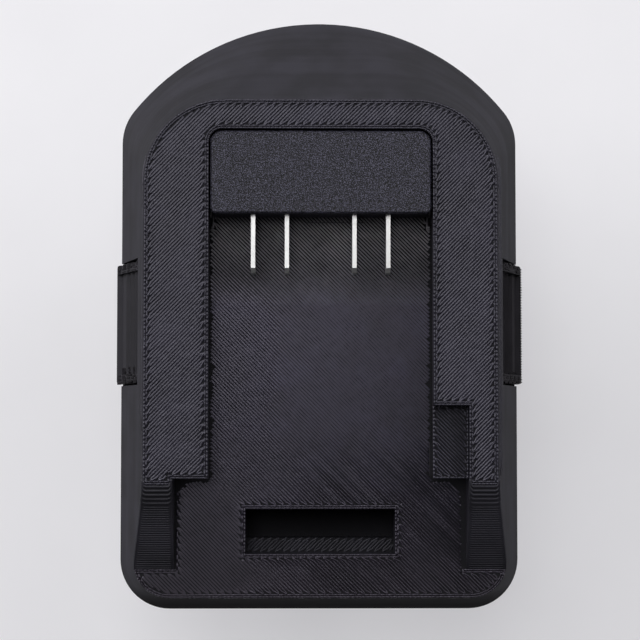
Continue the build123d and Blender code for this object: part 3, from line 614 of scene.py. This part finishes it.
skins = {
    "battery_shell": shell_skin, "base_cover": shell_skin, "post_tube": shell_skin, "post_cap": shell_skin,
    "terminal_block": block_skin, "blade_retainer": block_skin,
    "latch_left": latch_skin, "latch_right": latch_skin_darker,
    "blade_negative": nickel, "blade_sense_a": nickel, "blade_sense_b": nickel, "blade_positive": nickel,
    "latch_spring_left": bright, "latch_spring_right": bright,
    "power_contact_positive": brass, "power_contact_negative": brass,
    "sense_contact_a": brass, "sense_contact_b": brass,
    "power_wire_positive": insulation("red_skin", (0.5, 0.02, 0.02)),
    "power_wire_negative": insulation("black_skin", (0.022, 0.022, 0.024)),
    "sense_wire_a": insulation("white_skin", (0.74, 0.74, 0.71)),
    "sense_wire_b": insulation("yellow_skin", (0.8, 0.52, 0.03)),
    "wire_sleeves": insulation("sleeve_skin", (0.028, 0.028, 0.032), roughness=0.5),
    "shell_screws": oxide, "post_screws": oxide, "block_screws": oxide, "cap_screws": oxide,
}
for name, skin in skins.items():
    places = nodes[name].data.materials
    if not len(places):
        places.append(skin)
    for index in range(len(places)):
        places[index] = skin


# Printed lines of the level faces

deck_loops = read_loops("battery_shell", DECK)
floor_loops = [loop for loop in read_loops("battery_shell", FLOOR) if min(p[1] for p in loop) < BLOCK_FRONT]
recess_loops = [loop for loop in read_loops("battery_shell", RECESS) if abs(area(loop)) > SMALLEST_RECESS]
ledge_loops = read_loops("battery_shell", LEDGE)

# Bare strips of floor, painted shadow beside the walls: the lines sink there and only the bed's painted shade
# shows.
# The noise of their edges, then how far they reach to both sides of the lips' edges, below the arms' ends, into
# the corners there and beside the right and the left ramp, and how far each wanders
BARE_ALONG, BARE_ACROSS, BARE_SEED = 0.9, 50, 5
LIP_INSIDE, LIP_OUTSIDE, LIP_WANDER = 0.2, 0.9, 0.9
UNDER_ARM, UNDER_ARM_WANDER = 0.8, 0.6
BARE_CORNER = 3.5
BESIDE_RIGHT, BESIDE_LEFT, BESIDE_WANDER = 1.1, 0.5, 0.5
SUNKEN = -0.1

# The floor's lines: how high they stand at least, how much more beside edges, below the block and in stripes at
# the lower right, and where those parts begin and how soon they are whole
FLOOR_LEAST, FLOOR_MORE = 0.12, 0.85
FLOOR_EDGE = 2.5
BLOCK_FADE, BLOCK_FADE_LENGTH = 4, 7
LOW_FADE, LOW_FADE_LENGTH = -20, 12
RIGHT_FADE, RIGHT_FADE_LENGTH = -8, 10
STRIPE_ALONG, STRIPE_ACROSS, STRIPE_SEED, STRIPE_LEAST, STRIPE_SWING = 0.04, 0.55, 3, 0.4, 1.2
# The smear at the lower left: middle, reach, how soon it is whole, and what it takes of the lines' height
SMEAR_X, SMEAR_Y, SMEAR_REACH_X, SMEAR_REACH_Y = -24, -43, 17, 18
SMEAR_GROWTH, SMEAR_SHARE = 2.5, 0.97

# The deck's lines: how high they stand, and how much more within a distance of an edge
DECK_LEAST, DECK_MORE, DECK_EDGE = 0.58, 0.34, 2.2


def painted_shadow_floor(p):
    """Where the floor's lines stay away from a wall, so that only its bed, darkened with painted shade, shows as
    a painted shadow.
    """
    reach, drop = abs(p.x), ARM_END - p.y
    uneven = max(0, noise.noise(Vector((p.y * BARE_ALONG, p.x / BARE_ACROSS, BARE_SEED))))
    if drop < 0:
        inside = LIP_REACH - LIP_INSIDE - LIP_WANDER * uneven
        return inside < reach < LIP_REACH + LIP_OUTSIDE and p.y < BLOCK_FRONT
    if reach > RAMP_INNER or p.y < RAMP_FOOT:
        return False
    beside = BESIDE_RIGHT if p.x > 0 else BESIDE_LEFT
    under = drop < UNDER_ARM + UNDER_ARM_WANDER * uneven and reach > LIP_REACH
    corner = (RAMP_INNER - reach) / BARE_CORNER + drop / BARE_CORNER < 1
    return under or corner or RAMP_INNER - reach < beside + BESIDE_WANDER * uneven


def floor_relief(p):
    """The floor's lines are flatter in its middle, smeared in its lower left and sunk in the strips of painted
    shadow.
    """
    if painted_shadow_floor(p):
        return SUNKEN
    edge = max(0, 1 - edge_distance(floor_loops, p) / FLOOR_EDGE)
    below_block = clamp((p.y - BLOCK_FADE) / BLOCK_FADE_LENGTH)
    stripe = noise.noise(Vector(((p.x - p.y) * STRIPE_ALONG, (p.x + p.y) * STRIPE_ACROSS, STRIPE_SEED)))
    low_right = clamp((LOW_FADE - p.y) / LOW_FADE_LENGTH) * clamp((p.x - RIGHT_FADE) / RIGHT_FADE_LENGTH)
    striped = low_right * max(0, STRIPE_LEAST + STRIPE_SWING * stripe)
    smear = max(0, 1 - math.hypot((p.x - SMEAR_X) / SMEAR_REACH_X, (p.y - SMEAR_Y) / SMEAR_REACH_Y))
    kept = 1 - SMEAR_SHARE * min(1, SMEAR_GROWTH * smear)
    return (FLOOR_LEAST + FLOOR_MORE * max(edge, below_block, striped)) * kept


def floor_rim_relief(p):
    """The floor's edge beads sink where its bed is bare, in the strips of painted shadow."""
    return SUNKEN if painted_shadow_floor(p) else 1


def deck_relief(p):
    """The deck's lines stand out more beside its edges."""
    return DECK_LEAST + DECK_MORE * max(0, 1 - edge_distance(deck_loops, p) / DECK_EDGE)


def surface(name, loops, level, angle, height, rim_height, relief=None, width=0.89, skin=bead_skin, wobble=0.4,
            rim_gaps=ONE_RIM, rim_relief=None):
    """The printed lines of one level face: beads along its edges and slanted lines inside it."""
    if rim_height:
        rims = []
        for loop in loops:
            for gap, beat in zip(rim_gaps, (OUTER_BEAT, INNER_BEAT)):
                path = [(x, y, level) for x, y in inset(loop, gap)]
                spots = resample(path, closed=True, step=PITCH / math.sqrt(2))
                rims.append([(*s.xyz, beat[i % len(beat)]) for i, s in enumerate(spots)])
        strands(name + "_rim", rims, half_round(RIM_WIDTH, rim_height), skin, closed=True,
                step=RIM_STEP, wobble=RIM_WOBBLE, relief=rim_relief, flat_base=True)
    margin = rim_gaps[-1] + RIM_MARGIN if rim_height else PLAIN_MARGIN
    lines = [[(x, y, level, k) for x, y, k in chain] for chain in hatch(loops, angle, margin)]
    strands(name + "_lines", lines, half_round(width * PITCH, height), skin,
            step=LINE_STEP, wobble=wobble, relief=relief, flat_base=True)


surface("deck", deck_loops, DECK, angle=45, height=0.12, rim_height=0.13, relief=deck_relief, rim_gaps=TWO_RIMS)
surface("floor", floor_loops, FLOOR, angle=-45, height=0.13, rim_height=0.12, relief=floor_relief, width=0.60,
        skin=floor_skin, wobble=0.3, rim_gaps=TWO_RIMS, rim_relief=floor_rim_relief)
surface("recess", recess_loops, RECESS, angle=-45, height=0.13, rim_height=0.10, width=0.66)
surface("ledge", ledge_loops, LEDGE, angle=45, height=0.06, rim_height=0, skin=ramp_skin)
strands("seam", [[(SEAM_LEFT, SEAM, FLOOR), (SEAM_RIGHT, SEAM, FLOOR)]], half_round(width=0.18, height=0.22),
        bead_skin, step=0.6, wobble=0.5)


# Rough rows on the ends of the release buttons

# Where the rows lie, and how much of the scoop's depth they don't follow
ROW_START, ROW_PITCH, SCOOP_LESS = 0.2, 0.4, 0.15
# Shares of the sloped face: where a row's blobs begin, where the last may begin and end, their length and gap
BLOBS_START, BLOBS_STOP, BLOBS_END = 0.02, 0.95, 0.98
BLOB_LENGTH, BLOB_LONGER, BLOB_GAP = 0.12, 0.16, 0.05
# How chance moves and swells a blob, and how deep it sits
BLOB_NOISE, ROW_NOISE = 9, 2.1
BLOB_DRIFT, BLOB_SWELL, BLOB_SINK = 0.25, 1.5, 0.05
# The dots along the right button's lower edge
DOT_MARGIN, DOT_PITCH, DOT_LENGTH, DOT_INSIDE, DOT_DROP = 0.3, 0.5, 0.22, 0.05, 0.1


def button_slope(node, side):
    """The foot and the top of a button's sloped face, each as its reach from the middle and its level."""
    spots = [v.co / MM for v in nodes[node].data.vertices if side * v.co.x / MM > BUTTON_REACH]
    top = max(s.z for s in spots)
    reach = max(side * s.x for s in spots)
    foot = max(s.z for s in spots if side * s.x > reach - TINY)
    return Vector((reach, foot)), Vector((max(side * s.x for s in spots if s.z > top - TINY), top))


def button_beads(side, foot, top, low_rows, high_rows):
    """Rough printed rows across both ends of a button, on its rims and just inside its scoop."""
    paths = []
    for way, rows in ((-1, low_rows), (1, high_rows)):
        for row in range(rows):
            back = ROW_START + ROW_PITCH * row
            y = BUTTON_CENTRE + way * (BUTTON_HALF - back)
            sunk = 0 if back < BUTTON_RIM else SCOOP_DEPTH - SCOOP_LESS
            here = BLOBS_START
            while here < BLOBS_STOP:
                chance = noise.noise(Vector((here * BLOB_NOISE, y * ROW_NOISE, side)))
                length = BLOB_LENGTH + BLOB_LONGER * abs(chance)
                ends = [foot.lerp(top, here), foot.lerp(top, min(BLOBS_END, here + length))]
                paths.append([(side * (e.x - sunk), y + BLOB_DRIFT * chance, e.y - BLOB_SINK,
                               1 + BLOB_SWELL * chance) for e in ends])
                here += length + BLOB_GAP
    return paths


def edge_dots(foot):
    """Short beads in a row along the lower edge of the right button."""
    paths = []
    x, z = foot.x - DOT_INSIDE, foot.y - DOT_DROP
    y = BUTTON_CENTRE - BUTTON_HALF + DOT_MARGIN
    while y < BUTTON_CENTRE + BUTTON_HALF - DOT_MARGIN:
        paths.append([(x, y, z), (x, y + DOT_LENGTH, z)])
        y += DOT_PITCH
    return paths


rough = oval(width=0.46, height=0.52, count=6, sunk=0.02)
foot, top = button_slope("latch_left", -1)
strands("button_rows_left", button_beads(-1, foot, top, low_rows=8, high_rows=4), rough, end_skin,
        step=0.5, wobble=0.6, body="left_latch")
foot, top = button_slope("latch_right", 1)
right_paths = button_beads(1, foot, top, low_rows=6, high_rows=5) + edge_dots(foot)
strands("button_rows_right", right_paths, rough, end_skin, step=0.5, wobble=0.6,
        body="right_latch")


# The ramps' beads, one for each layer, and the flanks' fine ridges

# Slopes of the flared wall, as the upward share of its normal
FLANK_LEAST, FLANK_MOST = 0.12, 0.8
# Where the first and the last bead lie, and their pitches on the crest and on the slope
FIRST_BEAD, LAST_BEAD, CREST_PITCH, SLOPE_PITCH = 0.35, 0.2, 0.76, 0.43
# How far below a bead the flank is measured, and the beads' gaps from it and from the inner wall
FLANK_BELOW, FLANK_GAP, WALL_GAP = 0.4, 0.22, 0.18
# The bend at both ends of a bead, and how far it runs on behind
BEND, BEND_SHARE, BEAD_TAIL = 0.55, 0.3, 1.5
# The ridges where the print changed speed: drops below the deck on each side, and the part of the flank
RIDGES = ((-1, (0.35, 0.9)), (1, (0.35, 1.0, 1.7, 2.3, 3.2)))
RIDGE_REACH, RIDGE_FRONT, RIDGE_BACK = 25, -29, 31


def ramp_level(y):
    """The ramp's height at a place along Y: a round crest and a straight slope."""
    if y > RAMP_CREST:
        return DECK - CREST_RADIUS + math.sqrt(CREST_RADIUS ** 2 - (y - RAMP_START) ** 2)
    crest = DECK - CREST_RADIUS + math.sqrt(CREST_RADIUS ** 2 - (RAMP_CREST - RAMP_START) ** 2)
    return crest + (FLOOR - crest) * (y - RAMP_CREST) / (RAMP_FOOT - RAMP_CREST)


def slice_flank(level):
    """The sloped outer wall's outline at a level, as chains of points."""
    mesh = nodes["battery_shell"].data
    links = {}
    for tri in mesh.loop_triangles:
        if not FLANK_LEAST < tri.normal.z < FLANK_MOST:
            continue
        corners = [mesh.vertices[i].co / MM for i in tri.vertices]
        cuts = []
        for a, b in sides(corners):
            if (a.z > level) != (b.z > level):
                c = a.lerp(b, (level - a.z) / (b.z - a.z))
                cuts.append((round(c.x, PLACES), round(c.y, PLACES)))
        if len(cuts) == 2 and cuts[0] != cuts[1]:
            links.setdefault(cuts[0], set()).add(cuts[1])
            links.setdefault(cuts[1], set()).add(cuts[0])
    chains = []
    while links:
        here = min(links, key=lambda spot: (len(links[spot]), spot))
        chain = [here]
        while links.get(here):
            after = min(links[here])
            links[here].discard(after)
            links[after].discard(here)
            if not links[here]:
                del links[here]
            chain.append(after)
            here = after
        links.pop(here, None)
        if len(chain) > 2:
            chains.append(chain)
    return chains


def flank_reach(y, level):
    """How far out the flank stands beside a ramp at a level."""
    best = 0
    for chain in slice_flank(level):
        for a, b in zip(chain, chain[1:]):
            if min(a[1], b[1]) <= y <= max(a[1], b[1]) and a[1] != b[1]:
                best = max(best, abs(a[0] + (b[0] - a[0]) * (y - a[1]) / (b[1] - a[1])))
    return best


crest_paths, slope_paths = [], []
inner = RAMP_INNER + WALL_GAP
cut = BEND_SHARE * BEND
y = RAMP_START - FIRST_BEAD
while y > RAMP_FOOT + LAST_BEAD:
    level = ramp_level(y)
    outer = flank_reach(y, min(level, DECK) - FLANK_BELOW) - FLANK_GAP
    path = [(inner, y + BEAD_TAIL), (inner, y + BEND), (inner + cut, y + cut), (inner + BEND, y),
            (outer - BEND, y), (outer - cut, y + cut), (outer, y + BEND), (outer, y + BEAD_TAIL)]
    on_crest = y > RAMP_CREST
    for side in (-1, 1):
        (crest_paths if on_crest else slope_paths).append([(side * x, v, level) for x, v in path])
    y -= CREST_PITCH if on_crest else SLOPE_PITCH
strands("ramp_crests", crest_paths, oval(width=0.60, height=0.42, sunk=0.05), ramp_skin,
        step=0.8, wobble=0.12)
strands("ramp_layers", slope_paths, oval(width=0.42, height=0.22, sunk=0.03), ramp_skin,
        step=0.8, wobble=0.12)

ridges = []
for side, drops in RIDGES:
    for drop in drops:
        for chain in slice_flank(DECK - drop):
            spots = [(x, y, DECK - drop) for x, y in chain
                     if side * x > RIDGE_REACH and RIDGE_FRONT < y < RIDGE_BACK]
            if len(spots) > 1:
                ridges.append(spots)
strands("flank_ridges", ridges, oval(width=0.16, height=0.14, count=6), bead_skin, step=2.5,
        wobble=0.3)


# Camera

# The place on the deck that the camera looks at, its distance in metres, and its tilts in degrees
VIEW_X, VIEW_Y, VIEW_DISTANCE = -0.17, 0.06, 0.36
TILT_X, TILT_Y = 0.87, 3.0

away = Vector((-math.sin(math.radians(TILT_X)), -math.sin(math.radians(TILT_Y)), 1)).normalized()
up = (Vector((0, 1, 0)) - away * away.y).normalized()
right = up.cross(away)
camera = bpy.data.objects.new("camera", bpy.data.cameras.new("camera"))
bpy.context.scene.collection.objects.link(camera)
camera.data.sensor_width = 36
camera.data.lens = 109.68
camera.data.clip_start = 0.01
camera.data.clip_end = 20
camera.location = Vector((VIEW_X, VIEW_Y, DECK)) * MM + away * VIEW_DISTANCE
camera.rotation_mode = "QUATERNION"
camera.rotation_quaternion = Matrix([[right[i], up[i], away[i]] for i in range(3)]).to_quaternion()
bpy.context.scene.camera = camera
bpy.context.scene.view_settings.view_transform = "Standard"


# Paper, backdrop and lamps, in metres

HALF_SHEET = 3.0
PAPER_GRAIN = (30, 30, 30)
PAPER_TONES = ((0.3, (0.585, 0.58, 0.60)), (0.7, (0.615, 0.61, 0.63)))
GLOW_TINT, GLOW = (0.97, 0.96, 1.0, 1), 0.33
BACKDROP_TINT, BACKDROP = (0.76, 0.755, 0.79, 1), 1.0
AMBIENT_TINT, AMBIENT = (0.97, 0.97, 1.0, 1), 0.01
LAMP_AIM = Vector((0, 0, 0.05))
# Each lamp's place, width and length, and power in watts
LAMPS = {
    "high": ((-0.126, 0.270, 1.111), (0.5, 0.5), 3.4),
    "key_left": ((-0.575, 0.575, 0.813), (0.7, 0.6), 2.4),
    "back": ((0.0, 1.042, 0.486), (0.8, 0.5), 4.3),
    "left": ((-0.979, 0.356, 0.486), (0.7, 0.6), 5.6),
    "right": ((0.979, 0.356, 0.486), (0.7, 0.6), 3.1),
    "front": ((0.0, -0.996, 0.575), (0.8, 0.6), 0.3),
    "key_right": ((0.575, 0.575, 0.813), (0.5, 0.5), 1.4),
}

sheet_corners = [(-HALF_SHEET, -HALF_SHEET, 0), (HALF_SHEET, -HALF_SHEET, 0),
                 (HALF_SHEET, HALF_SHEET, 0), (-HALF_SHEET, HALF_SHEET, 0)]
floor_mesh = bpy.data.meshes.new("studio_floor")
floor_mesh.from_pydata(sheet_corners, [], [(0, 1, 2, 3)])
floor = bpy.data.objects.new("studio_floor", floor_mesh)
bpy.context.scene.collection.objects.link(floor)

# The paper glows a little where the camera or a reflection sees it, and lights nothing
material, tree, where = start_material("studio_floor")
paper = noise_at(tree, where, PAPER_GRAIN, detail=3.0)
lit = add(tree, "ShaderNodeBsdfDiffuse", {"Color": ramp(tree, paper, PAPER_TONES)})
glow = add(tree, "ShaderNodeEmission", {"Color": GLOW_TINT, "Strength": GLOW})
shown = add(tree, "ShaderNodeAddShader", {0: lit.outputs[0], 1: glow.outputs[0]})
rays = add(tree, "ShaderNodeLightPath").outputs
bent = math_node(tree, "MAXIMUM", rays["Is Glossy Ray"], rays["Is Transmission Ray"])
seen = math_node(tree, "MAXIMUM", rays["Is Camera Ray"], bent)
close_material(tree, add(tree, "ShaderNodeMixShader", {0: seen, 1: lit.outputs[0], 2: shown.outputs[0]}))
floor_mesh.materials.append(material)

world = bpy.data.worlds.new("studio")
bpy.context.scene.world = world
world.use_nodes = True
tree = world.node_tree
tree.nodes.clear()
rays = add(tree, "ShaderNodeLightPath").outputs
backdrop = add(tree, "ShaderNodeBackground", {"Color": BACKDROP_TINT, "Strength": BACKDROP})
ambient = add(tree, "ShaderNodeBackground", {"Color": AMBIENT_TINT, "Strength": AMBIENT})
mixed = add(tree, "ShaderNodeMixShader", {
    0: rays["Is Camera Ray"], 1: ambient.outputs[0], 2: backdrop.outputs[0]})
add(tree, "ShaderNodeOutputWorld", {"Surface": mixed.outputs[0]})

for name, (place, size, power) in LAMPS.items():
    light = bpy.data.lights.new(name, "AREA")
    light.shape = "RECTANGLE"
    light.size, light.size_y = size
    light.energy = power
    lamp = bpy.data.objects.new(name, light)
    bpy.context.scene.collection.objects.link(lamp)
    lamp.location = place
    lamp.rotation_mode = "QUATERNION"
    lamp.rotation_quaternion = (Vector(place) - LAMP_AIM).to_track_quat("Z", "Y")
